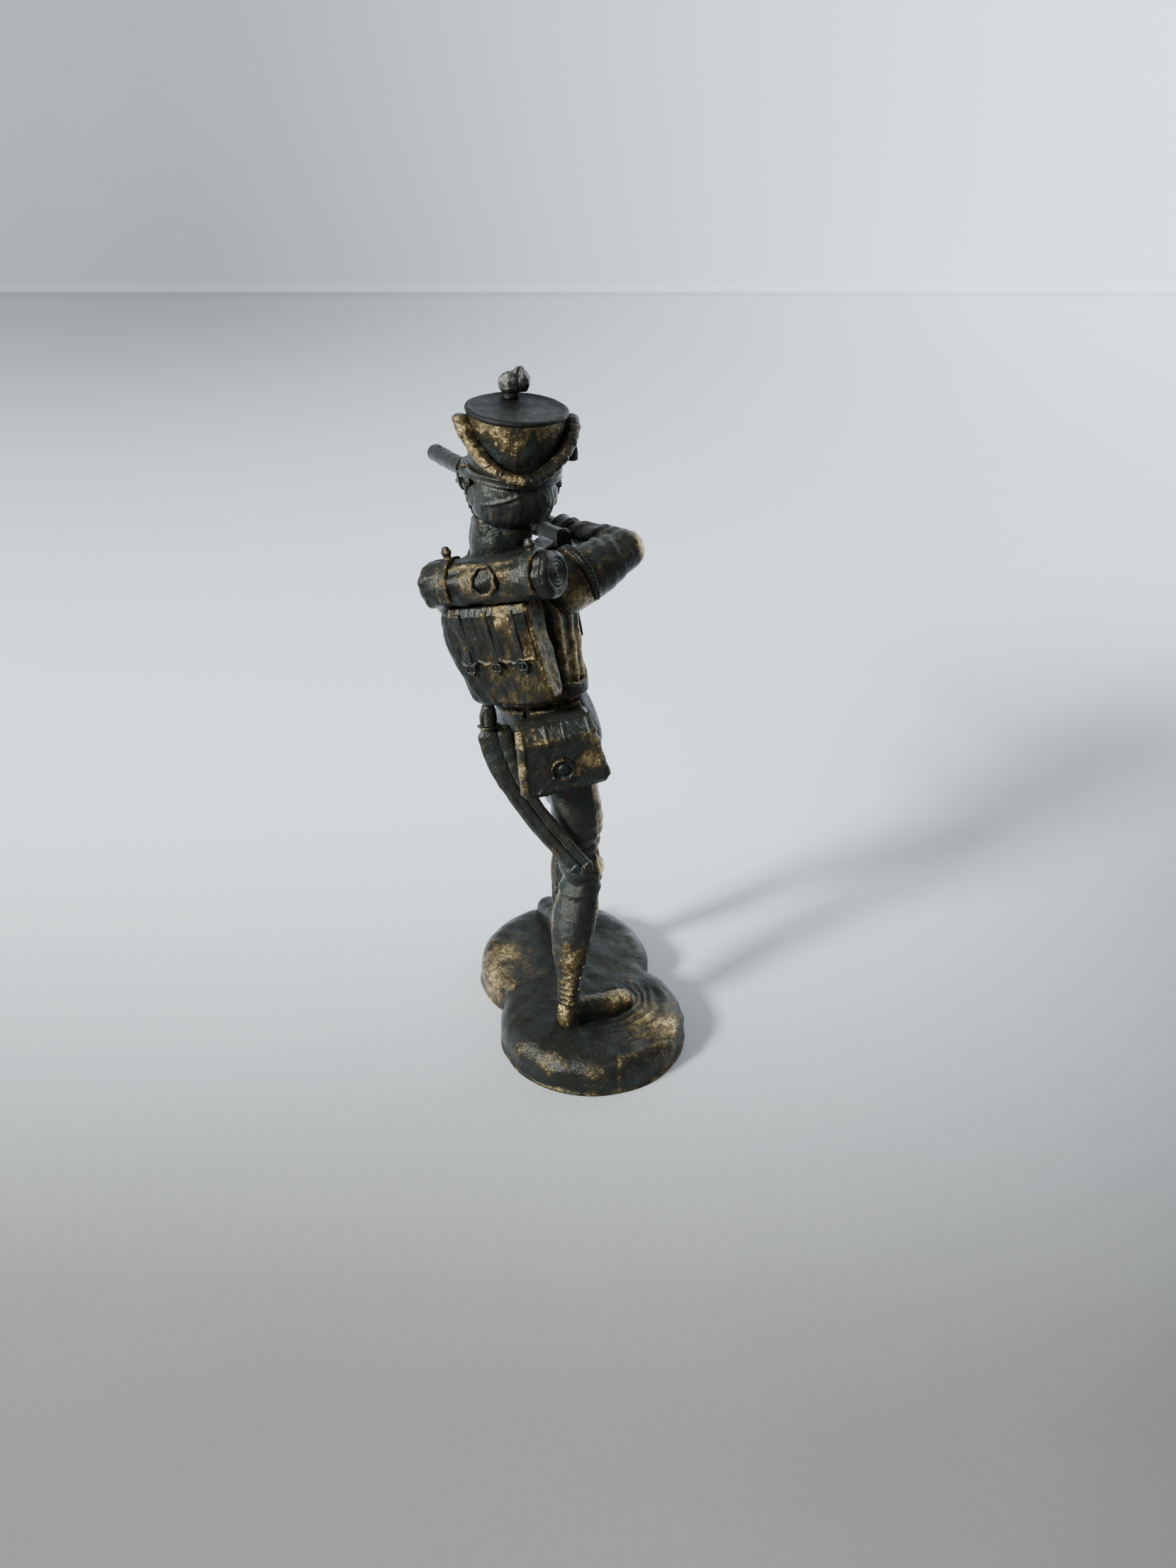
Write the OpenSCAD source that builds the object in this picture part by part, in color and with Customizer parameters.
// Cast metal infantryman in a shako, aiming a musket from a two-lobed mound of ground.
// Origin: middle of the base's underside, +Z up. He stands facing -Y, with his left at +X.
// Turns are clockwise from -Y seen from above, so a piece with a turn of 34 faces 34 degrees to his right.

/* [Base] */
// Radius of the mound's rear lobe
rear_lobe_r = 6.1; // [5.8:0.1:6.6]
// Radius of the mound's front lobe
front_lobe_r = 5.85; // [5.5:0.05:6.4]
// How far the rear lobe's middle lies behind the origin
rear_lobe_back = 3.35; // [3:0.05:3.8]
// How far the front lobe's middle lies ahead of the origin
front_lobe_ahead = 3.4; // [3:0.1:3.8]
// How far the rear lobe's middle lies to his right
rear_lobe_right = 0.45; // [0.2:0.05:0.7]
// How far the front lobe's middle lies to his left
front_lobe_left = 0.7; // [0.4:0.05:1]
// Thickness of the mound
base_h = 2.4; // [2:0.1:3]
// Rounding of the mound's upper edge
base_round = 1.4; // [0.9:0.1:1.7]

/* [Shoes] */
// Place of the right heel's back, left of the origin
right_heel_left = 2; // [1.6:0.1:2.4]
// Place of the right heel's back, behind the origin
right_heel_back = 4.9; // [4.5:0.1:5.3]
// Turn of the right shoe
right_shoe_turn = 71; // [60:1:80]
// Place of the left heel's back, left of the origin
left_heel_left = 0.65; // [0.3:0.05:1]
// Place of the left heel's back, ahead of the origin
left_heel_ahead = 3.3; // [2.8:0.1:3.7]
// Turn of the left shoe
left_shoe_turn = -9; // [-15:1:0]
// Length of a shoe
shoe_len = 5.4; // [5:0.1:5.8]
// Height of a shoe at the ankle
shoe_h = 1.7; // [1.4:0.1:2]
// Height of a shoe's toe
toe_h = 1.15; // [0.9:0.05:1.4]
// Radius of a shoe's heel
heel_r = 0.8; // [0.7:0.05:0.95]
// Radius of a shoe's toe
toe_r = 0.75; // [0.65:0.05:0.9]

/* [Legs] */
// Radius of the ankle
ankle_r = 0.68; // [0.6:0.02:0.7]
// Radius of the calf
calf_r = 1.42; // [1.2:0.02:1.6]
// Radius of the thigh
thigh_r = 1.82; // [1.6:0.02:1.9]
// Height of the knees above the underside
knee_h = 11.9; // [11:0.1:12.8]
// Height of the top of the legs above the underside
hip_h = 20.3; // [19.5:0.1:21.2]
// Distance between the middles of the two legs at the top
hip_gap = 2.95; // [2.9:0.05:3.3]
// Turn of the line between the two leg tops
hip_turn = 60; // [50:1:65]
// How far ahead the right knee is bent
right_knee_bend = 1.45; // [1:0.05:1.8]
// Turn of the right knee's bend
right_knee_turn = 43; // [30:1:55]
// How far ahead the left knee is bent
left_knee_bend = 2.1; // [1.8:0.05:2.4]
// Turn of the left knee's bend
left_knee_turn = 60; // [48:1:66]

/* [Seat and coat] */
// Place of the middle of the hips, left of the origin
hips_left = 1.4; // [1.1:0.05:1.7]
// Place of the middle of the hips, ahead of the origin
hips_ahead = 1.03; // [0.8:0.01:1.3]
// Turn of the body
body_turn = 34; // [28:1:40]
// Rise of the waist above the leg tops
waist_rise = 3.5; // [3:0.1:4]
// Shift of the waist to his left
waist_left = 0.42; // [0.2:0.02:0.7]
// Shift of the waist to his back
waist_back = 0.75; // [0.5:0.05:1]
// Half width of the seat
seat_w = 3.45; // [3.2:0.05:3.7]
// Half depth of the seat
seat_d = 2.1; // [1.9:0.05:2.3]
// Lean of the upper body to his left
body_lean = 16; // [12:1:20]
// Length of the coat body from waist to neck
coat_len = 9.4; // [8.9:0.1:9.9]
// Half width of the chest
chest_w = 3.75; // [3.5:0.05:3.95]
// Half depth of the chest
chest_d = 2.15; // [1.9:0.05:2.3]
// Length of the coat tails below the waist
tail_len = 4.4; // [4:0.1:4.6]
// Thickness of the coat tails
tail_t = 0.35; // [0.25:0.05:0.5]
// Slit between the two tails
tail_slit = 0.4; // [0.3:0.05:0.8]
// Outer radius of the collar
collar_r = 1.9; // [1.75:0.05:1.95]
// Height of the collar
collar_h = 2.5; // [2.2:0.05:2.7]

/* [Head] */
// Radius of the neck
neck_r = 1.4; // [1.2:0.05:1.5]
// Place of the head's middle, right of the neck's foot
head_right = 0.78; // [0.55:0.05:1.05]
// Place of the head's middle, ahead of the neck's foot
head_ahead = 0.05; // [-0.3:0.05:0.4]
// Rise of the head's middle above the neck's foot
head_rise = 3.85; // [3.6:0.05:4]
// Half width of the head
head_w = 2.4; // [2.2:0.05:2.5]
// Half depth of the head, nose left out
head_d = 2.35; // [2.15:0.05:2.45]
// Drop of the chin below the head's middle
chin_drop = 2.8; // [2.6:0.05:3]
// Rise of the shako's rim above the head's middle
rim_rise = 0.8; // [0.6:0.05:1]
// Turn of the head
head_turn = -5; // [-12:1:5]
// Lean of the head to his left
head_lean = -4; // [-8:1:0]

/* [Shako] */
// Radius of the shako's foot
shako_low_r = 2.52; // [2.45:0.02:2.6]
// Radius of the shako's top
shako_top_r = 2.84; // [2.74:0.02:2.95]
// Height of the shako body
shako_h = 3.6; // [3.3:0.05:3.9]
// Thickness of the shako's top plate
shako_lid_t = 0.35; // [0.25:0.05:0.5]
// Reach of the top plate past the body
shako_lid_lip = 0.12; // [0.05:0.01:0.2]
// Height of the band round the shako's foot
shako_band_h = 0.55; // [0.4:0.05:0.8]
// Thickness of the band
shako_band_t = 0.16; // [0.12:0.02:0.24]
// Reach of the peak
peak_len = 1.1; // [0.8:0.1:1.4]
// Thickness of the peak
peak_t = 0.28; // [0.2:0.02:0.4]
// Radius of the plaited cord
cord_r = 0.32; // [0.26:0.01:0.36]
// How far the cord sags at the back
cord_sag = 2.55; // [2.2:0.05:2.7]
// Length of the tassels at his right
tassel_len = 1.4; // [1.1:0.1:1.6]
// Radius of a tassel
tassel_r = 0.34; // [0.28:0.01:0.38]
// Side of the lozenge plate at the front
front_plate_w = 1.15; // [1:0.05:1.2]
// Radius of the pompon
pompon_r = 0.74; // [0.6:0.02:0.85]
// Height of the tuft beside the pompon
tuft_h = 1.2; // [1:0.05:1.3]
// Distance of the tuft from the pompon, to his right
tuft_right = 0.55; // [0.4:0.05:0.65]

/* [Pack] */
// Place of the knapsack's middle, right of the coat's middle
pack_right = 0.55; // [0.4:0.05:0.7]
// Width of the knapsack
pack_w = 5.7; // [5.1:0.1:6.3]
// Height of the knapsack
pack_h = 6.25; // [5.7:0.05:6.5]
// Depth of the knapsack
pack_d = 2; // [1.7:0.1:2.3]
// Rise of the knapsack's foot above the waist
pack_rise = 1.15; // [0.9:0.05:1.3]
// Rounding of the knapsack
pack_round = 0.5; // [0.3:0.05:0.65]
// Height of the flap over the knapsack's back
flap_h = 3.6; // [3:0.1:4.2]
// Thickness of the flap
flap_t = 0.28; // [0.2:0.02:0.4]
// Width of a closing strap
strap_w = 0.42; // [0.3:0.02:0.55]
// Thickness of a strap
strap_t = 0.16; // [0.12:0.01:0.2]
// Length of the rolled coat
roll_len = 8.9; // [8.2:0.1:9.4]
// Place of the roll's middle, right of the coat's middle
roll_right = 1.3; // [1:0.05:1.5]
// Radius of the rolled coat
roll_r = 1.36; // [1.2:0.02:1.45]
// Rounding of the roll's ends
roll_round = 0.5; // [0.3:0.05:0.7]
// Distance of each roll strap from the roll's middle
roll_strap_at = 2.85; // [2.5:0.05:3]
// How far the roll straps sit to his right
roll_strap_right = 0.25; // [0:0.05:0.4]
// Width of a roll strap
roll_strap_w = 0.75; // [0.6:0.05:0.95]
// Width of the buckle ring on the roll
roll_ring_w = 1.85; // [1.5:0.05:2]
// How far the buckle ring sits to his right
roll_ring_right = 0.3; // [0:0.05:0.5]
// How far the buckle ring sits above the roll's middle
roll_ring_rise = 0.35; // [0.1:0.05:0.4]

/* [Pouch] */
// Width of the cartridge pouch at its top
pouch_w = 4.3; // [3.9:0.1:4.6]
// Widening of the pouch at its foot
pouch_flare = 0.55; // [0.3:0.05:0.8]
// Height of the pouch
pouch_h = 4.8; // [4.4:0.1:5.2]
// Depth of the pouch
pouch_d = 1.9; // [1.6:0.1:2.2]
// Turn of the pouch
pouch_turn = -3; // [-8:1:4]
// Lean of the pouch to his left
pouch_lean = 10; // [6:1:14]
// Place of the pouch's middle, right of the hips' middle
pouch_right = 0.15; // [-0.1:0.05:0.4]
// Gap from the hips' middle back to the pouch's inner face
pouch_back = 3.25; // [3.1:0.05:3.6]
// Rise of the pouch's foot above the leg tops
pouch_rise = -0.75; // [-1.1:0.05:-0.4]
// Thickness of the pouch's flap
pouch_flap_t = 0.25; // [0.18:0.01:0.35]
// Radius of the round badge on the flap
badge_r = 0.75; // [0.6:0.05:0.9]

/* [Side arms] */
// Half width of the sabre's scabbard
scabbard_w = 0.5; // [0.44:0.02:0.56]
// Half depth of the sabre's scabbard
scabbard_d = 0.3; // [0.24:0.02:0.36]
// Half width of the bayonet's scabbard
bayonet_w = 0.4; // [0.34:0.02:0.44]
// Place of the scabbards' mouth, left of the hips' middle
mouth_left = 4.18; // [4:0.02:4.4]
// Place of the scabbards' mouth, behind the hips' middle
mouth_back = 1.6; // [1.4:0.05:1.9]
// Rise of the scabbards' mouth above the leg tops
mouth_rise = 2.1; // [1.8:0.1:2.3]
// Fall of the scabbards from mouth to tip
scabbard_fall = 8.8; // [8.2:0.1:9.4]
// Run of the scabbards to his right
scabbard_run = 5.05; // [4.75:0.05:5.35]
// Run of the scabbards to his back
scabbard_out = 4.9; // [4.7:0.05:5.2]
// Length of the sabre's hilt
hilt_len = 1.15; // [0.9:0.05:1.25]

/* [Arms] */
// Length of the upper arm
upper_arm_len = 4.2; // [4:0.1:4.5]
// Length of the forearm
forearm_len = 5.8; // [5.5:0.1:6.1]
// Radius of the upper arm
upper_arm_r = 1.75; // [1.6:0.05:1.8]
// Radius of the sleeve at the wrist
wrist_r = 0.72; // [0.6:0.02:0.82]
// Length of a cuff
cuff_len = 1.1; // [0.9:0.05:1.3]
// Thickness of a cuff over the sleeve
cuff_t = 0.16; // [0.1:0.02:0.24]
// Radius of a hand
hand_r = 0.72; // [0.62:0.02:0.8]
// Width of a shoulder wing along the sleeve
wing_w = 0.7; // [0.5:0.05:0.9]
// Thickness of a shoulder wing
wing_t = 0.3; // [0.2:0.05:0.4]

/* [Musket] */
// Length of the musket
musket_len = 21.8; // [20.6:0.2:23]
// Turn of the musket
musket_turn = -18.5; // [-21:0.5:-16]
// Dip of the muzzle
musket_dip = 6.6; // [5:0.2:8]
// Place of the butt, right of the coat's middle
butt_right = 2.7; // [2.5:0.05:2.9]
// Place of the butt, ahead of the coat's middle
butt_ahead = 2.75; // [2.7:0.05:3]
// Drop of the butt below the coat's top
butt_drop = 0.1; // [-0.2:0.05:0.4]
// Height of the butt
butt_h = 2; // [1.7:0.05:2.3]
// Width of the stock
stock_w = 1; // [0.85:0.05:1.15]
// Height of the stock's fore end
fore_h = 0.7; // [0.6:0.05:0.8]
// Radius of the barrel
barrel_r = 0.62; // [0.54:0.02:0.66]
// Length of the stock
stock_len = 16.6; // [15.8:0.2:17.4]
// Where the right hand grips, from the butt
grip_at = 3.9; // [3.6:0.1:4.2]
// Where the left hand grips, back from the stock's front end
fore_grip_back = 6; // [5.4:0.1:6.6]
// Where the breech lies, from the butt
breech_at = 5.3; // [5:0.1:5.6]

/* [Fits] */
// Radius of the locating pegs
peg_r = 0.4; // [0.3:0.02:0.45]
// Length of the locating pegs
peg_len = 1.1; // [0.9:0.05:1.3]
// Clearance round a peg in its socket
peg_clear = 0.05; // [0.02:0.01:0.08]
// Clearance between neighbouring pieces
clear = 0.05; // [0.03:0.01:0.08]

/* [Hidden] */
// Overrun of every cut
over = 1;
// Sides of a body's cross section
sides = 18;
// Sides of a thin tube
thin_sides = 8;
$fn = 40;
// Facets of the round corners inside a hull
corner_fn = 16;
eps = 0.001;

function spin_x(v, a) = [v.x, v.y * cos(a) - v.z * sin(a), v.y * sin(a) + v.z * cos(a)];
function spin_y(v, a) = [v.x * cos(a) + v.z * sin(a), v.y, v.z * cos(a) - v.x * sin(a)];
function spin_z(v, a) = [v.x * cos(a) - v.y * sin(a), v.x * sin(a) + v.y * cos(a), v.z];
function mix(a, b, t) = a + (b - a) * t;
function unit(v) = v / norm(v);
// Point at a distance ahead along a turn
function ahead(turn, d) = spin_z([0, -d, 0], -turn);

// Joints of the body
right_heel = [right_heel_left, right_heel_back, base_h];
left_heel = [left_heel_left, -left_heel_ahead, base_h];
right_ankle = right_heel + ahead(right_shoe_turn, heel_r) + [0, 0, shoe_h];
left_ankle = left_heel + ahead(left_shoe_turn, heel_r) + [0, 0, shoe_h];
hips = [hips_left, -hips_ahead, hip_h];
right_hip = hips + spin_z([-hip_gap / 2, 0, 0], -hip_turn);
left_hip = hips + spin_z([hip_gap / 2, 0, 0], -hip_turn);
knee_share = (knee_h - right_ankle.z) / (hip_h - right_ankle.z);
right_knee = mix(right_ankle, right_hip, knee_share) + ahead(right_knee_turn, right_knee_bend);
left_knee = mix(left_ankle, left_hip, knee_share) + ahead(left_knee_turn, left_knee_bend);
waist = hips + spin_z([waist_left, waist_back, waist_rise], -body_turn);
function on_coat(v) = waist + spin_z(spin_y(v, body_lean), -body_turn);
neck_foot = on_coat([0, 0, coat_len]);
head = neck_foot + [-head_right, -head_ahead, head_rise];
function on_head(v) = head + spin_z(spin_y(v, head_lean), -head_turn);

module on_coat() {
    translate(waist) rotate([0, 0, -body_turn]) rotate([0, body_lean, 0]) children();
}
module on_head() {
    translate(head) rotate([0, 0, -head_turn]) rotate([0, head_lean, 0]) children();
}
module on_shako() {
    on_head() translate([0, 0, rim_rise]) children();
}

// A solid skin over rings of points, from its first ring to its last
module skin(rings) {
    n = len(rings[0]);
    m = len(rings);
    sides_list = [
        for (i = [0:m - 2], k = [0:n - 1])
            let (a = i * n + k, b = i * n + (k + 1) % n)
                each [[a, a + n, b + n], [a, b + n, b]]
    ];
    polyhedron(
        points = [for (r = rings) each r],
        faces = concat([[for (k = [0:n - 1]) k]], sides_list, [[for (k = [n - 1:-1:0]) (m - 1) * n + k]])
    );
}

// A level oval ring
function level_ring(c, w, d, turn, n = sides) =
    [for (k = [0:n - 1]) let (a = 360 * k / n) c + spin_z([w * cos(a), d * sin(a), 0], -turn)];
// An oval ring in the coat's frame
function coat_ring(w, d, h) =
    [for (k = [0:sides - 1]) let (a = 360 * k / sides) on_coat([w * cos(a), d * sin(a), h])];
// An oval ring in the head's frame, moved ahead by y
function head_ring(w, d, h, y) =
    [for (k = [0:sides - 1]) let (a = 360 * k / sides) on_head([w * cos(a), d * sin(a) - y, h])];

// Rings square to a path, with half width w and half depth d; front is the side that d points at
function way(path, i) =
    unit(path[min(i + 1, len(path) - 1)] - path[max(i - 1, 0)]);
function tube_ring(p, t, w, d, front, n) =
    let (s = unit(cross(front, t)), f = cross(t, s))
        [for (k = [0:n - 1]) let (a = 360 * k / n) p + w * cos(a) * s + d * sin(a) * f];
function tube_rings(path, ws, ds, front, n = sides) =
    [for (i = [0:len(path) - 1]) tube_ring(path[i], way(path, i), ws[i], ds[i], front, n)];

// A box with rounded corners standing on z = 0, its middle at x = 0 and its front at y = 0
module soft_box(w, d, h, r) {
    hull()
        for (x = [-w / 2 + r, w / 2 - r], y = [r, d - r], z = [r, h - r])
            translate([x, y, z]) sphere(r, $fn = corner_fn);
}

// Ground
module lobe(r) {
    steps = 6;
    rotate_extrude($fn = 72)
        polygon(concat(
            [[0, 0], [r, 0]],
            [for (i = [0:steps]) let (a = 90 * i / steps)
                [r - base_round + base_round * cos(a), base_h - base_round + base_round * sin(a)]],
            [[0, base_h]]
        ));
}

module peg_hole(at) {
    translate([at.x, at.y, base_h - peg_len - peg_clear])
        cylinder(r = peg_r + peg_clear, h = peg_len + peg_clear + over);
}

module base() {
    color("#3d3a30")
        difference() {
            union() {
                translate([-rear_lobe_right, rear_lobe_back, 0]) lobe(rear_lobe_r);
                translate([front_lobe_left, -front_lobe_ahead, 0]) lobe(front_lobe_r);
            }
            peg_hole(right_ankle);
            peg_hole(left_ankle);
        }
}

// Shoes and legs
module shoe(heel, turn) {
    color("#6b5a35")
        translate(heel) rotate([0, 0, -turn]) union() {
            hull() {
                translate([0, -heel_r, 0]) cylinder(r1 = heel_r, r2 = heel_r, h = shoe_h, $fn = corner_fn);
                translate([0, toe_r - shoe_len, 0]) cylinder(r = toe_r, h = toe_h, $fn = corner_fn);
            }
            translate([0, -heel_r, -peg_len]) cylinder(r = peg_r, h = peg_len + toe_h / 2);
        }
}

module right_shoe() {
    shoe(right_heel, right_shoe_turn);
}

module left_shoe() {
    shoe(left_heel, left_shoe_turn);
}

// Shares up the lower leg, and how far the calf has swelled from ankle to calf there
gaiter_at_shares = [0, 0.18, 0.42, 0.66, 0.86, 1];
gaiter_swell_shares = [0, 0.12, 0.72, 1, 0.82, 0.7];
calf_back_share = 0.35;
knee_r = mix(ankle_r, calf_r, 0.7);

module gaiter(ankle, knee, turn) {
    bulge = calf_r - ankle_r;
    color("#4a4638")
        skin([
            for (i = [0:len(gaiter_at_shares) - 1])
                let (t = gaiter_at_shares[i], g = gaiter_swell_shares[i], r = mix(ankle_r, calf_r, g))
                    level_ring(
                        mix(ankle, knee, t) - ahead(turn, bulge * calf_back_share * sin(180 * t)),
                        r, r, turn
                    )
        ]);
}

module right_gaiter() {
    gaiter(right_ankle, right_knee, right_shoe_turn);
}

module left_gaiter() {
    gaiter(left_ankle, left_knee, left_shoe_turn);
}

// Shares up the thigh, and how far it has swelled from knee to thigh there
leg_at_shares = [0, 0.07, 0.14, 0.4, 0.7, 0.9, 1];
leg_swell_shares = [0.1, 0.45, 0.1, 0.6, 1, 0.75, 0.55];

module breeches_leg(knee, hip, turn) {
    top_r = hip_gap / 2 - clear;
    color("#3c3f3a")
        skin([
            for (i = [0:len(leg_at_shares) - 1])
                let (t = leg_at_shares[i], swollen = mix(knee_r, thigh_r, leg_swell_shares[i]))
                let (r = min(swollen, mix(thigh_r, top_r, t)))
                    level_ring(mix(knee, hip, t), r, r, turn)
        ]);
}

module right_leg() {
    breeches_leg(right_knee, right_hip, body_turn);
}

module left_leg() {
    breeches_leg(left_knee, left_hip, body_turn);
}

// Seat of the breeches, from the leg tops to the waist
waist_w_share = 0.76;
waist_d_share = 0.88;

function seat_rings(grow) = [
    level_ring(hips, seat_w * 0.9 + grow, seat_d * 0.88 + grow, body_turn),
    level_ring(mix(hips, waist, 0.4), seat_w + grow, seat_d + grow, body_turn),
    coat_ring(chest_w * waist_w_share + grow, chest_d * waist_d_share + grow, 0)
];

module seat() {
    color("#3c3f3a") skin(seat_rings(0));
}

// Coat body: shares of its height, half width and half depth
coat_at_shares = [0, 0.16, 0.42, 0.66, 0.82, 0.92, 1];
coat_w_shares = [waist_w_share, 0.83, 0.94, 1, 0.97, 0.84, 0.58];
coat_d_shares = [waist_d_share, 0.92, 1, 1, 0.97, 0.93, 0.9];

module coat_form(grow) {
    skin([
        for (i = [0:len(coat_at_shares) - 1])
            coat_ring(
                chest_w * coat_w_shares[i] + grow,
                chest_d * coat_d_shares[i] + grow,
                coat_len * coat_at_shares[i]
            )
    ]);
}

module coat() {
    color("#45432f")
        difference() {
            coat_form(0);
            on_coat() translate([0, 0, coat_len - peg_len - peg_clear])
                cylinder(r = peg_r + peg_clear, h = peg_len + peg_clear + over);
        }
}

// Coat tails hang behind the seat; the shape widens downwards
tail_flare_share = 0.3;

module tail_form(grow) {
    low = tail_len - waist_rise;
    skin([
        level_ring(hips - [0, 0, low], seat_w * (1 + tail_flare_share / 2) + grow,
            seat_d * (1 + tail_flare_share) + grow, body_turn),
        level_ring(mix(hips, waist, 0.4), seat_w + clear + grow, seat_d + clear + grow, body_turn),
        coat_ring(chest_w * waist_w_share + clear + grow, chest_d * waist_d_share + clear + grow, -clear)
    ]);
}

module tail(side) {
    reach = 2 * seat_w;
    color("#3a3d38")
        intersection() {
            difference() {
                tail_form(tail_t);
                tail_form(0);
                on_pouch() pouch_form(clear);
                on_coat() translate([-reach, -reach, -2 * clear]) cube([2 * reach, 2 * reach, reach]);
            }
            translate([hips.x, hips.y, hip_h + waist_rise - tail_len + clear]) rotate([0, 0, -body_turn])
                translate([side > 0 ? tail_slit / 2 : -tail_slit / 2 - reach, seat_d * 0.3, 0])
                    cube([reach, reach, 2 * tail_len]);
        }
}

module left_tail() {
    tail(1);
}

module right_tail() {
    tail(-1);
}

// The collar stands round the neck and stops at the jaw
module collar() {
    color("#4a4a3e")
        difference() {
            on_coat() translate([0, 0, coat_len]) cylinder(r = collar_r, h = collar_h);
            on_coat() translate([0, 0, coat_len - over])
                cylinder(r = neck_r + clear, h = collar_h + 2 * over);
            skin(head_rings(clear));
            stock_form(clear);
        }
}

// Head: shares of its height from chin to rim, of its half width and depth, and how far ahead each ring lies
head_at_shares = [0, 0.12, 0.3, 0.55, 0.8, 1];
head_w_shares = [0.42, 0.66, 0.88, 1, 1, 0.96];
head_d_shares = [0.4, 0.68, 0.9, 1, 1, 0.96];
head_ahead_shares = [0.22, 0.2, 0.1, 0.04, 0, 0];

function head_rings(grow) = [
    for (i = [0:len(head_at_shares) - 1])
        head_ring(
            head_w * head_w_shares[i] + grow,
            head_d * head_d_shares[i] + grow,
            mix(-chin_drop, rim_rise, head_at_shares[i]),
            head_d * head_ahead_shares[i]
        )
];

module head() {
    color("#4b4a3c")
        union() {
            difference() {
                skin(head_rings(0));
                stock_form(clear);
            }
            on_coat() translate([0, 0, coat_len]) cylinder(r = neck_r, h = head_rise - chin_drop / 2);
            on_coat() translate([0, 0, coat_len - peg_len]) cylinder(r = peg_r, h = 2 * peg_len);
            on_shako() translate([0, 0, -peg_len]) cylinder(r = peg_r, h = 2 * peg_len);
        }
}

// Shako
shako_slope = (shako_top_r - shako_low_r) / shako_h;

module shako_form(grow) {
    cylinder(r1 = shako_low_r + grow, r2 = shako_top_r + grow, h = shako_h);
}

module shako_body() {
    color("#34373a")
        on_shako() difference() {
            shako_form(0);
            translate([0, 0, -over]) cylinder(r = peg_r + peg_clear, h = peg_len + peg_clear + over);
        }
}

module shako_lid() {
    rim = shako_lid_t / 2;
    color("#3a3f44")
        on_shako() translate([0, 0, shako_h]) difference() {
            cylinder(r = shako_top_r + shako_lid_lip, h = shako_lid_t, $fn = 60);
            translate([0, 0, shako_lid_t - rim / 2]) cylinder(r = shako_top_r - rim, h = over, $fn = 60);
        }
}

module shako_band() {
    color("#5b5236")
        on_shako() difference() {
            cylinder(r = shako_low_r + shako_slope * shako_band_h + clear + shako_band_t, h = shako_band_h);
            shako_form(clear);
            translate([0, 0, -over]) cylinder(r = shako_low_r + clear, h = over + eps);
        }
}

module shako_peak() {
    inner = shako_low_r + shako_slope * shako_band_h + 2 * clear + shako_band_t;
    color("#3a3830")
        on_shako() difference() {
            translate([0, -peak_len, 0]) cylinder(r = inner, h = peak_t);
            translate([0, 0, -over]) cylinder(r = inner, h = peak_t + 2 * over);
            translate([-2 * inner, -inner * 0.3, -over]) cube([4 * inner, 4 * inner, peak_t + 2 * over]);
        }
}

// The plaited cord runs all round, held at both sides and sagging at the back and the front
cord_steps = 32;
front_sag_share = 0.75;

function cord_point(a) =
    let (
        sag = cord_sag * (sin(a) > 0 ? 1 : front_sag_share) * pow(abs(sin(a)), 1.3),
        z = shako_h - cord_r - clear - sag,
        over_band = min(1, max(0, shako_band_h + clear + cord_r - z) / cord_r),
        r = shako_low_r + shako_slope * z + clear + cord_r + over_band * (shako_band_t + 2 * clear)
    ) [r * cos(a), r * sin(a), z];

module shako_cord() {
    path = [for (i = [0:cord_steps - 1]) cord_point(360 * i / cord_steps)];
    rings = [
        for (i = [0:cord_steps - 1])
            let (t = unit(path[(i + 1) % cord_steps] - path[(i + cord_steps - 1) % cord_steps]))
                tube_ring(path[i], t, cord_r, cord_r, [0, 0, 1], thin_sides)
    ];
    n = thin_sides;
    color("#a8894e")
        on_shako() polyhedron(
            points = [for (r = rings) each r],
            faces = [
                for (i = [0:cord_steps - 1], k = [0:n - 1])
                    let (j = (i + 1) % cord_steps, l = (k + 1) % n)
                        each [[i * n + k, j * n + k, j * n + l], [i * n + k, j * n + l, i * n + l]]
            ]
        );
}

// Two tassels hang from the cord at his right
module shako_tassels() {
    out = shako_top_r + 2 * clear + tassel_r;
    top = cord_point(asin((2 * tassel_r + clear) / shako_low_r)).z - cord_r - clear;
    color("#a8894e")
        on_shako() for (y = [-tassel_r - clear, tassel_r + clear])
            translate([-out, y, top - tassel_len]) {
                cylinder(r1 = tassel_r, r2 = tassel_r * 0.6, h = tassel_len);
                sphere(tassel_r);
            }
}

module front_plate() {
    t = shako_band_t;
    lift = cord_point(270).z + cord_r + 2 * clear + front_plate_w / sqrt(2);
    lean = atan(shako_slope);
    color("#8f7743")
        on_shako() translate([0, -shako_low_r - shako_slope * lift - clear, lift]) rotate([lean, 0, 0])
            rotate([90, 0, 0]) translate([0, 0, t]) rotate([0, 0, 45])
                difference() {
                    cube([front_plate_w, front_plate_w, 2 * t], center = true);
                    translate([0, 0, 2 * t]) cylinder(r = front_plate_w * 0.3, h = 2 * t, center = true);
                }
}

module pompon() {
    color("#b9bcc0")
        on_shako() translate([0, pompon_r * 0.9 - shako_top_r, shako_h + shako_lid_t]) {
            translate([0, 0, pompon_r]) sphere(pompon_r);
            cylinder(r = pompon_r * 0.7, h = pompon_r * 0.5);
            translate([-tuft_right, 0, pompon_r / 2])
                cylinder(r1 = pompon_r * 0.7, r2 = pompon_r * 0.35, h = tuft_h);
        }
}

// Chin scales run from the rim down both cheeks and under the chin
scale_r_share = 0.11;

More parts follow.
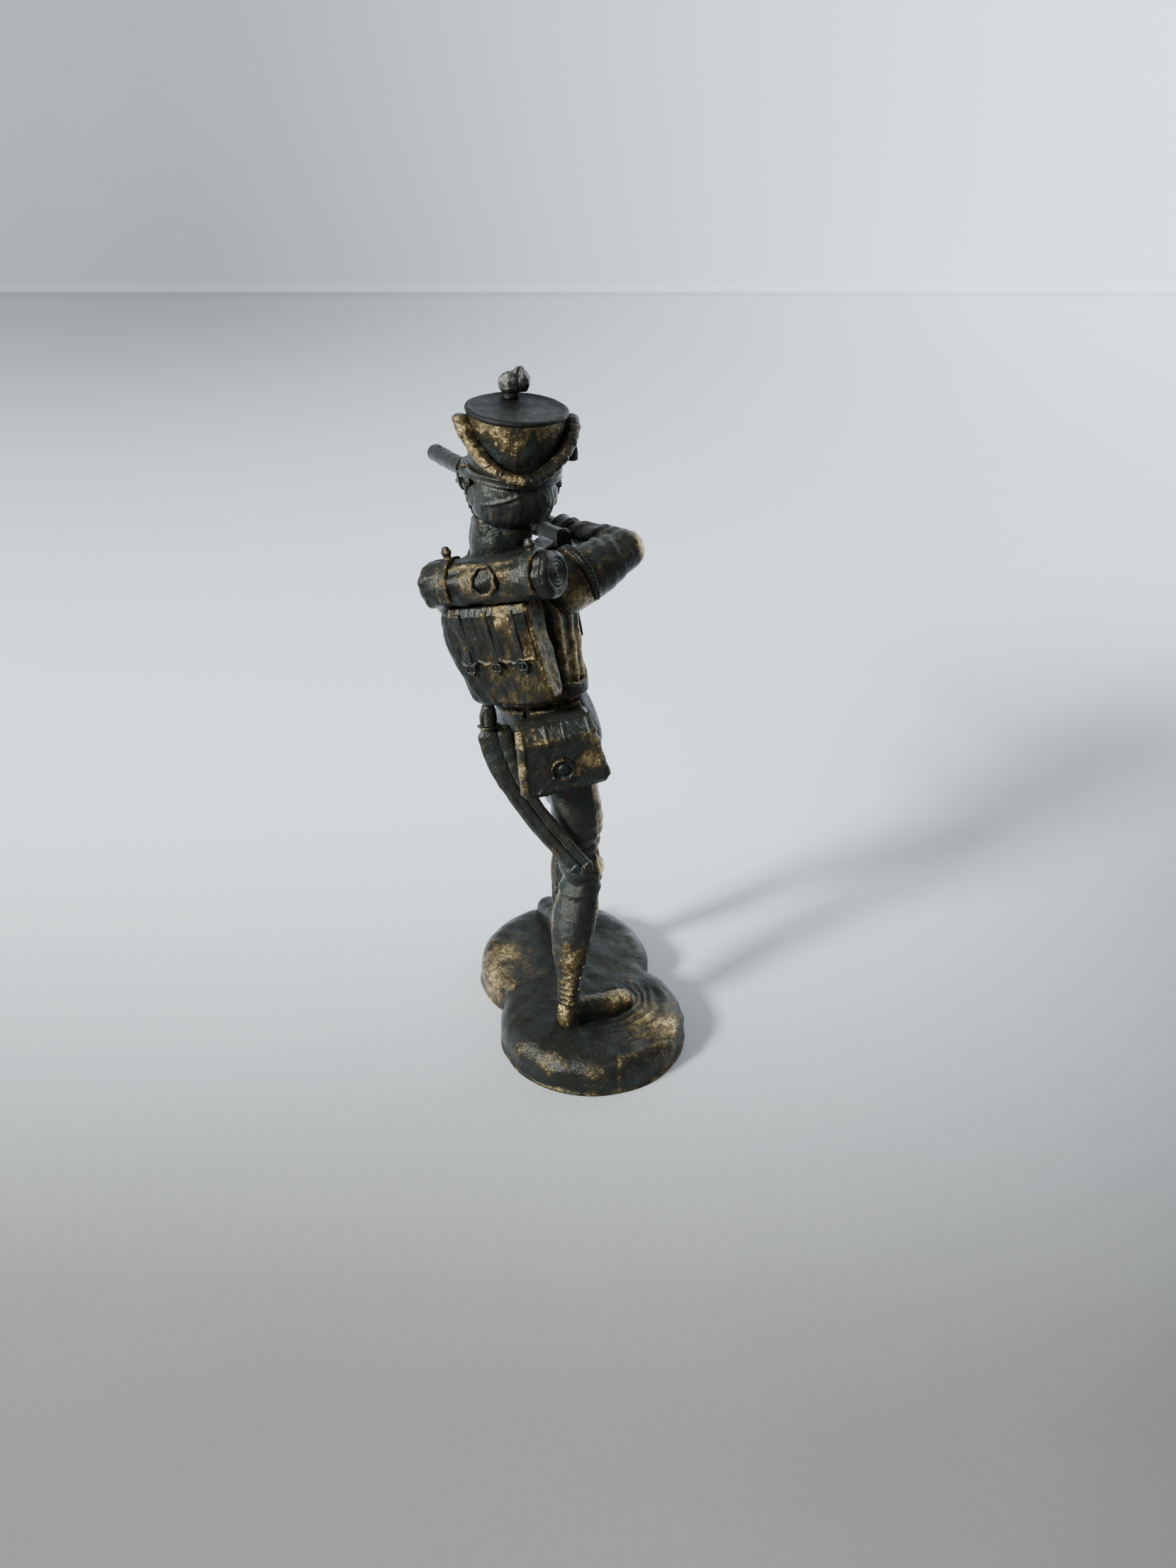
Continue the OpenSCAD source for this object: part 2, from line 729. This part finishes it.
module chin_scales() {
    r = head_w * scale_r_share;
    steps = 14;
    path = [
        for (i = [0:steps])
            let (a = 180 * i / steps)
                on_head([
                    (head_w + r + clear) * cos(a) * (1 - 0.1 * sin(a)),
                    -head_d * 0.5 * sin(a),
                    rim_rise - clear - r - (chin_drop + rim_rise) * sin(a)
                ])
    ];
    color("#8f7743")
        difference() {
            skin(tube_rings(path, [for (p = path) r], [for (p = path) r], ahead(head_turn, 1), thin_sides));
            skin(head_rings(clear));
            on_coat() cylinder(r = collar_r + clear, h = coat_len + collar_h + clear);
            stock_form(clear);
        }
}

// Knapsack, in the coat's frame behind the chest
pack_y = chest_d + clear;

module knapsack() {
    color("#3f3c30")
        on_coat() translate([-pack_right, pack_y, pack_rise]) soft_box(pack_w, pack_d, pack_h, pack_round);
}

module knapsack_flap() {
    r = flap_t / 2 - eps;
    color("#5a5038")
        on_coat() translate([-pack_right, pack_y + pack_d + clear, pack_rise + pack_h - flap_h])
            soft_box(pack_w - pack_round, flap_t, flap_h - pack_round / 2, r);
}

strap_spread_share = 0.32;

module knapsack_straps() {
    y = pack_y + pack_d + flap_t + 2 * clear;
    drop = flap_h + strap_w;
    low = pack_rise + pack_h - pack_round / 2 - drop;
    color("#7c6a3f")
        on_coat() for (x = [-1, 0, 1])
            translate([x * pack_w * strap_spread_share - pack_right, y, low]) {
                translate([-strap_w / 2, 0, 0]) cube([strap_w, strap_t, drop]);
                translate([-strap_w * 0.8, 0, strap_w]) cube([strap_w * 1.6, strap_t * 1.6, strap_w * 1.2]);
            }
}

// Belts lie on the coat: level 1 is next to the cloth, level 2 crosses over it
module belt_form(level) {
    step = strap_t + clear;
    difference() {
        coat_form(clear + level * step - clear);
        coat_form(level * step - strap_t);
    }
}

module pack_space() {
    on_coat() translate([-pack_right - pack_w / 2 - clear, pack_y - clear - over, 0])
        cube([pack_w + 2 * clear, pack_d + 2 * over, pack_rise + pack_h + clear]);
}

// A slab that cuts a belt out of the coat's skin: it leans by an angle and passes at a height
module belt_slab(lean, h, w) {
    reach = 4 * chest_w;
    on_coat() translate([0, 0, h]) rotate([0, lean, 0])
        translate([-reach / 2, -reach / 2, -w / 2]) cube([reach, reach, w]);
}

belt_w = 2 * strap_w;
pouch_belt_lean = 52;
pouch_belt_share = 0.44;
sabre_belt_lean = 48;
sabre_belt_share = 0.47;

module pouch_belt() {
    color("#6a6148")
        difference() {
            intersection() {
                belt_form(1);
                belt_slab(-pouch_belt_lean, coat_len * pouch_belt_share, belt_w);
            }
            pack_space();
        }
}

module sabre_belt() {
    color("#6a6148")
        difference() {
            intersection() {
                belt_form(2);
                belt_slab(sabre_belt_lean, coat_len * sabre_belt_share, belt_w);
            }
            pack_space();
        }
}

// Shoulder straps of the knapsack: two loops, outside both belts
module shoulder_straps() {
    at = chest_w * 0.6;
    color("#6a6148")
        difference() {
            intersection() {
                belt_form(3);
                on_coat() for (x = [-at, at])
                    translate([x - belt_w / 2, -2 * chest_w, coat_len * 0.3])
                        cube([belt_w, 4 * chest_w, coat_len]);
            }
            pack_space();
            on_coat() translate([-chest_w, 0, -over])
                cube([2 * chest_w, 2 * chest_w, pack_rise + pack_h + over]);
            on_roll() cylinder(r = roll_r + clear, h = roll_len, center = true);
            butt_space();
        }
}

// Room for the butt and its plate
module butt_space() {
    half = stock_w / 2 + 2 * clear;
    high = butt_h + 4 * clear;
    on_musket() translate([-half, -butt_h, stock_half_h[0] * 0.2 + 2 * clear - high])
        cube([2 * half, butt_h + stock_w / 2, high]);
}

// Rolled coat, lying across the top of the knapsack
roll_y = chest_d + 2 * clear + roll_r;
roll_z = pack_rise + pack_h + clear + roll_r;

module on_roll() {
    on_coat() translate([-roll_right, roll_y, roll_z]) rotate([0, 90, 0]) children();
}

module coat_roll() {
    steps = 5;
    half = roll_len / 2 - roll_round;
    flat_r = roll_r - roll_round;
    color("#45422f")
        on_roll() rotate_extrude($fn = 48)
            polygon(concat(
                [[0, -half - roll_round]],
                [for (i = [0:steps]) let (a = -90 + 90 * i / steps)
                    [flat_r + roll_round * cos(a), -half + roll_round * sin(a)]],
                [for (i = [0:steps]) let (a = 90 * i / steps)
                    [flat_r + roll_round * cos(a), half + roll_round * sin(a)]],
                [[0, half + roll_round]]
            ));
}

// Each roll strap is a ring with a buckle knob on top, open where the roll meets coat and knapsack
module roll_straps() {
    knob_r = strap_w * 0.8;
    color("#7c6a3f")
        for (x = [-roll_strap_at - roll_strap_right, roll_strap_at - roll_strap_right])
            difference() {
                union() {
                    on_roll() translate([0, 0, x - roll_strap_w / 2]) difference() {
                        cylinder(r = roll_r + clear + strap_t, h = roll_strap_w);
                        translate([0, 0, -over]) cylinder(r = roll_r + clear, h = roll_strap_w + 2 * over);
                    }
                    on_coat() translate([x - roll_right, roll_y, roll_z + roll_r + clear])
                        cylinder(r = knob_r, h = strap_t + knob_r * 1.6);
                }
                on_coat() translate([-2 * pack_w, roll_y - 2 * roll_r, roll_z - 2 * roll_r])
                    cube([4 * pack_w, 4 * roll_r, 1.25 * roll_r]);
                on_coat() translate([-2 * pack_w, roll_y - 3 * roll_r, roll_z - 2 * roll_r])
                    cube([4 * pack_w, 2.25 * roll_r, 4 * roll_r]);
            }
}

module roll_buckle() {
    t = strap_t * 1.5;
    wire = roll_ring_w * 0.16;
    color("#b39253")
        on_coat() translate([-roll_right - roll_ring_right, roll_y + roll_r + clear, roll_z + roll_ring_rise])
            rotate([-90, 0, 0]) difference() {
                cylinder(r = roll_ring_w / 2, h = t);
                translate([0, 0, -over]) cylinder(r = roll_ring_w / 2 - wire, h = t + 2 * over);
            }
}

// Cartridge pouch on the right hip, hanging behind the coat tails
pouch_foot = hips + [-pouch_right, pouch_back, pouch_rise];

module on_pouch() {
    translate(pouch_foot) rotate([0, 0, -pouch_turn]) rotate([0, pouch_lean, 0]) children();
}

// Its back stands up to this share of its height, then slopes in to the hinge
pouch_slope_share = 0.7;
pouch_hinge_share = 0.4;

module pouch_form(grow) {
    r = pouch_d * 0.16;
    hull()
        for (x = [-1, 1], at = [
            [pouch_w / 2 + pouch_flare, pouch_d, r],
            [pouch_w / 2 + pouch_flare, 2 * r, r],
            [pouch_w / 2 + pouch_flare * (1 - pouch_slope_share), pouch_d, pouch_h * pouch_slope_share],
            [pouch_w / 2, pouch_d * pouch_hinge_share, pouch_h - r],
            [pouch_w / 2, 2 * r, pouch_h - r]
        ])
            translate([x * (at.x - r), at.y - r, at.z]) sphere(r + grow, $fn = corner_fn);
}

module cartridge_pouch() {
    color("#57503a") on_pouch() pouch_form(0);
}

// The flap lies over the pouch's sloping top and its back
module pouch_flap() {
    reach = 2 * pouch_w;
    color("#6a5d3c")
        on_pouch() difference() {
            pouch_form(clear + pouch_flap_t);
            pouch_form(clear);
            translate([-reach, -reach, -reach])
                cube([2 * reach, reach + pouch_d * pouch_hinge_share, 2 * reach]);
            translate([-reach, -reach, -reach]) cube([2 * reach, 2 * reach, reach + pouch_h * 0.12]);
        }
}

module pouch_badge() {
    t = pouch_flap_t * 0.7;
    color("#b39253")
        on_pouch() translate([0, pouch_d + 2 * clear + pouch_flap_t, pouch_h * 0.4])
            rotate([-90, 0, 0]) union() {
                difference() {
                    cylinder(r = badge_r, h = t);
                    translate([0, 0, t / 2]) cylinder(r = badge_r * 0.72, h = over);
                }
                cylinder(r = badge_r * 0.4, h = t);
            }
}

// Scabbards: a bent path from the left hip to behind the right calf
mouth = hips + [mouth_left, mouth_back, mouth_rise];
tip = mouth + [-scabbard_run, scabbard_out - mouth_back, -scabbard_fall];
first_bend = mouth + [0, (scabbard_out - mouth_back) * 0.3, -scabbard_fall * 0.42];
last_bend = tip + [scabbard_run * 0.13, -(scabbard_out - mouth_back) * 0.12, scabbard_fall * 0.1];
scabbard_steps = 9;
scabbard_taper_share = 0.3;

function scabbard_point(t, shift) =
    let (
        a = mix(mouth, first_bend, t),
        b = mix(first_bend, last_bend, t),
        c = mix(last_bend, tip, t)
    ) mix(mix(a, b, t), mix(b, c, t), t) + shift;

module scabbard(w, d, shift, last_share) {
    path = [for (i = [0:scabbard_steps]) scabbard_point(last_share * i / scabbard_steps, shift)];
    taper = [for (i = [0:scabbard_steps]) 1 - scabbard_taper_share * i / scabbard_steps];
    skin(tube_rings(path, [for (k = taper) w * k], [for (k = taper) d * k], [0, 1, 0], 10));
}

module sabre_scabbard() {
    color("#3a4143") scabbard(scabbard_w, scabbard_d, [0, 0, 0], 1);
}

module bayonet_scabbard() {
    beside = scabbard_w + bayonet_w + clear;
    color("#4a4a38") scabbard(bayonet_w, scabbard_d, [-beside, 0, 0], 0.97);
}

module sabre_hilt() {
    guard_t = hilt_len * 0.12;
    lean = 12;
    color("#8f7743")
        translate(mouth + [0, 0, clear]) rotate([lean, 0, 0]) {
            cylinder(r = scabbard_w * 1.4, h = guard_t);
            cylinder(r = scabbard_w * 0.7, h = hilt_len);
            translate([0, 0, hilt_len]) sphere(scabbard_w * 0.85);
        }
}

// Musket frame: its barrel runs along -Y
butt = on_coat([-butt_right, -butt_ahead, coat_len - butt_drop]);
function on_musket(v) = butt + spin_z(spin_x(v, musket_dip), -musket_turn);
module on_musket() {
    translate(butt) rotate([0, 0, -musket_turn]) rotate([musket_dip, 0, 0]) children();
}

fore_grip_at = stock_len - fore_grip_back;

// Stock: places from the butt, half widths, half heights and middles
stock_at = [0, grip_at * 0.55, grip_at, breech_at, breech_at + butt_h, stock_len];
stock_half_w = [stock_w * 0.46, stock_w * 0.46, stock_w * 0.36, stock_w * 0.5, stock_w * 0.5, stock_w * 0.42];
stock_half_h = [butt_h * 0.5, butt_h * 0.4, fore_h * 0.5, fore_h * 0.62, fore_h * 0.5, fore_h * 0.4];
stock_top = [butt_h * 0.1, 0, 0, 0, 0, 0];

function stock_ring(y, w, h, top) = [
    for (k = [0:11])
        let (a = 360 * k / 12, s = sin(a), c = cos(a))
            on_musket([
                w * sign(c) * pow(abs(c), 0.6),
                -y,
                top - h + h * sign(s) * pow(abs(s), 0.6)
            ])
];

module stock_form(grow) {
    skin([
        for (i = [0:len(stock_at) - 1])
            stock_ring(stock_at[i] - (i == 0 ? grow : 0), stock_half_w[i] + grow,
                stock_half_h[i] + grow, stock_top[i] + grow)
    ]);
}

module musket_stock() {
    color("#45402f") stock_form(0);
}

module butt_plate() {
    t = stock_w * 0.14;
    color("#8f7743")
        skin([
            for (y = [-t - clear, -clear])
                stock_ring(y, stock_half_w[0], stock_half_h[0], stock_top[0])
        ]);
}

module barrel_form(grow) {
    on_musket() translate([0, -breech_at, barrel_r + clear]) rotate([90, 0, 0])
        cylinder(r = barrel_r + grow, h = musket_len - breech_at);
}

module musket_barrel() {
    bore_r = barrel_r * 0.55;
    color("#3b3f40")
        difference() {
            barrel_form(0);
            on_musket() translate([0, -musket_len - over, barrel_r + clear]) rotate([-90, 0, 0])
                cylinder(r = bore_r, h = butt_h + over);
        }
}

// Bands hold the barrel to the stock: one ahead of the left hand, one at the stock's front end
band_at = [fore_grip_at + 2 * hand_r, stock_len - 2 * strap_w];

module barrel_bands() {
    t = strap_t;
    high = 2 * barrel_r + fore_h + 3 * clear;
    half = max(stock_w / 2, barrel_r) + clear;
    color("#8f7743")
        on_musket() for (y = band_at)
            translate([0, -y, 0]) difference() {
                translate([-half - t, -strap_w, -fore_h - clear - t])
                    cube([2 * (half + t), strap_w, high + 2 * t]);
                translate([-half, -strap_w - over, -fore_h - clear])
                    cube([2 * half, strap_w + 2 * over, high]);
            }
}

module musket_lock() {
    t = stock_w * 0.2;
    half = max(stock_w / 2, barrel_r) + clear;
    color("#6b5f40")
        on_musket() translate([-half - t, -breech_at - butt_h * 0.75, 0]) {
            translate([0, 0, -fore_h * 0.8]) cube([t, butt_h, fore_h * 0.8]);
            translate([0, butt_h * 0.7, 0]) rotate([25, 0, 0]) cube([t, t * 1.5, butt_h * 0.55]);
            translate([t / 2, butt_h * 0.25, -t]) cube([t / 2 - eps, t * 2, butt_h * 0.35]);
        }
}

module trigger_guard() {
    ring_r = butt_h * 0.42;
    wire = stock_w * 0.12;
    color("#8f7743")
        on_musket() translate([0, -breech_at - ring_r * 0.6, -fore_h * 1.3 - clear]) rotate([0, 90, 0])
            difference() {
                cylinder(r = ring_r, h = 2 * wire, center = true);
                cylinder(r = ring_r - wire, h = 4 * wire, center = true);
                translate([-3 * ring_r, -2 * ring_r, -over]) cube([3 * ring_r, 4 * ring_r, 2 * over]);
            }
}

// Arms: two lengths that meet at an elbow pushed out towards a hint
function elbow(s, w, a, b, hint) =
    let (
        d = norm(w - s),
        t = unit(w - s),
        x = (a * a - b * b + d * d) / (2 * d),
        h = sqrt(max(0, a * a - x * x)),
        side = unit(hint - t * (hint * t))
    ) s + t * x + side * h;

shoulder_rise_share = 0.74;
right_shoulder = on_coat([-chest_w - clear, 0, coat_len * shoulder_rise_share]);
left_shoulder = on_coat([chest_w + clear, 0, coat_len * shoulder_rise_share]);
right_grip = on_musket([-hand_r * 0.6, -grip_at, -fore_h * 0.7]);
left_grip = on_musket([hand_r * 0.5, -fore_grip_at, -fore_h - hand_r * 0.5]);
right_wrist = right_grip + on_musket([-hand_r * 1.1, hand_r, -hand_r * 0.4]) - butt;
left_wrist = left_grip + on_musket([hand_r * 0.8, hand_r * 1.3, -hand_r * 0.8]) - butt;
right_elbow = elbow(right_shoulder, right_wrist, upper_arm_len, forearm_len, [-0.8, 0.55, 0.16]);
left_elbow = elbow(left_shoulder, left_wrist, upper_arm_len, forearm_len, [0.1, 0, -1]);

// Turns +Z onto a direction
module along(t) {
    rotate([0, acos(t.z), atan2(t.y, t.x)]) children();
}

elbow_r = upper_arm_r * 0.72;
wing_at_share = 0.2;
arm_fn = 24;

// A sleeve narrows from shoulder to elbow and from elbow to cuff
module sleeve(shoulder, elbow_at, wrist) {
    t = unit(wrist - elbow_at);
    hull() {
        translate(shoulder) sphere(upper_arm_r, $fn = arm_fn);
        translate(mix(shoulder, elbow_at, 0.4)) sphere(upper_arm_r * 0.95, $fn = arm_fn);
        translate(elbow_at) sphere(elbow_r, $fn = arm_fn);
    }
    hull() {
        translate(elbow_at) sphere(elbow_r, $fn = arm_fn);
        translate(mix(elbow_at, wrist, 0.35)) sphere(mix(elbow_r, wrist_r, 0.25), $fn = arm_fn);
        translate(wrist - t * cuff_len) along(t) translate([0, 0, -wrist_r * 0.2])
            cylinder(r = wrist_r, h = wrist_r * 0.2, $fn = arm_fn);
    }
}

module right_arm() {
    color("#3e4038")
        difference() {
            sleeve(right_shoulder, right_elbow, right_wrist);
            stock_form(clear);
            belt_solid();
        }
}

module left_arm() {
    color("#3e4038")
        difference() {
            sleeve(left_shoulder, left_elbow, left_wrist);
            belt_solid();
        }
}

// The coat with all three belt levels on it, cut from what lies against them
module belt_solid() {
    coat_form(3 * (strap_t + clear) + clear);
}

module cuff(elbow_at, wrist) {
    t = unit(wrist - elbow_at);
    path = [wrist - t * cuff_len, wrist - t * cuff_len * 0.5, wrist];
    radii = [wrist_r + cuff_t, wrist_r + cuff_t * 1.2, wrist_r + cuff_t];
    color("#6b6040") difference() {
        skin([for (i = [0:2]) tube_ring(path[i], t, radii[i], radii[i], [0.1, 0.2, 1], sides)]);
        stock_form(clear);
        barrel_form(clear);
    }
}

module right_cuff() {
    cuff(right_elbow, right_wrist);
}

module left_cuff() {
    cuff(left_elbow, left_wrist);
}

module hand(wrist, grip, elbow_at) {
    t = unit(wrist - elbow_at);
    far = grip + unit(grip - wrist) * hand_r * 0.9;
    path = [wrist + t * eps, mix(wrist, grip, 0.5), grip, far];
    radii = [hand_r * 0.8, hand_r, hand_r * 1.05, hand_r * 0.7];
    color("#7b6d48")
        difference() {
            skin([
                for (i = [0:3])
                    tube_ring(path[i], i == 0 ? t : way(path, i), radii[i], radii[i], [0.1, 0.2, 1], 14)
            ]);
            stock_form(clear);
            barrel_form(clear);
        }
}

module right_hand() {
    hand(right_wrist, right_grip, right_elbow);
}

module left_hand() {
    hand(left_wrist, left_grip, left_elbow);
}

// Shoulder wings: crescents that lie round the upper half of each sleeve
module wing(shoulder, elbow_at) {
    inner = upper_arm_r + clear;
    color("#8f7743")
        difference() {
            translate(mix(shoulder, elbow_at, wing_at_share)) along(unit(elbow_at - shoulder)) difference() {
                translate([0, 0, -wing_w / 2]) cylinder(r = inner + wing_t, h = wing_w);
                translate([0, 0, -wing_w / 2 - over]) cylinder(r = inner, h = wing_w + 2 * over);
            }
            translate(mix(shoulder, elbow_at, wing_at_share) - [2 * inner, 2 * inner, 4 * inner])
                cube([4 * inner, 4 * inner, 4 * inner - upper_arm_r * 0.35]);
            belt_solid();
            on_roll() cylinder(r = roll_r + clear, h = roll_len + 2 * clear, center = true);
            stock_form(clear);
        }
}

module right_wing() {
    wing(right_shoulder, right_elbow);
}

module left_wing() {
    wing(left_shoulder, left_elbow);
}

base();
right_shoe();
left_shoe();
right_gaiter();
left_gaiter();
right_leg();
left_leg();
seat();
coat();
left_tail();
right_tail();
collar();
head();
shako_body();
shako_lid();
shako_band();
shako_peak();
shako_cord();
shako_tassels();
front_plate();
pompon();
chin_scales();
knapsack();
knapsack_flap();
knapsack_straps();
pouch_belt();
sabre_belt();
shoulder_straps();
coat_roll();
roll_straps();
roll_buckle();
cartridge_pouch();
pouch_flap();
pouch_badge();
sabre_scabbard();
bayonet_scabbard();
sabre_hilt();
musket_stock();
butt_plate();
musket_barrel();
barrel_bands();
musket_lock();
trigger_guard();
right_arm();
left_arm();
right_cuff();
left_cuff();
right_hand();
left_hand();
right_wing();
left_wing();
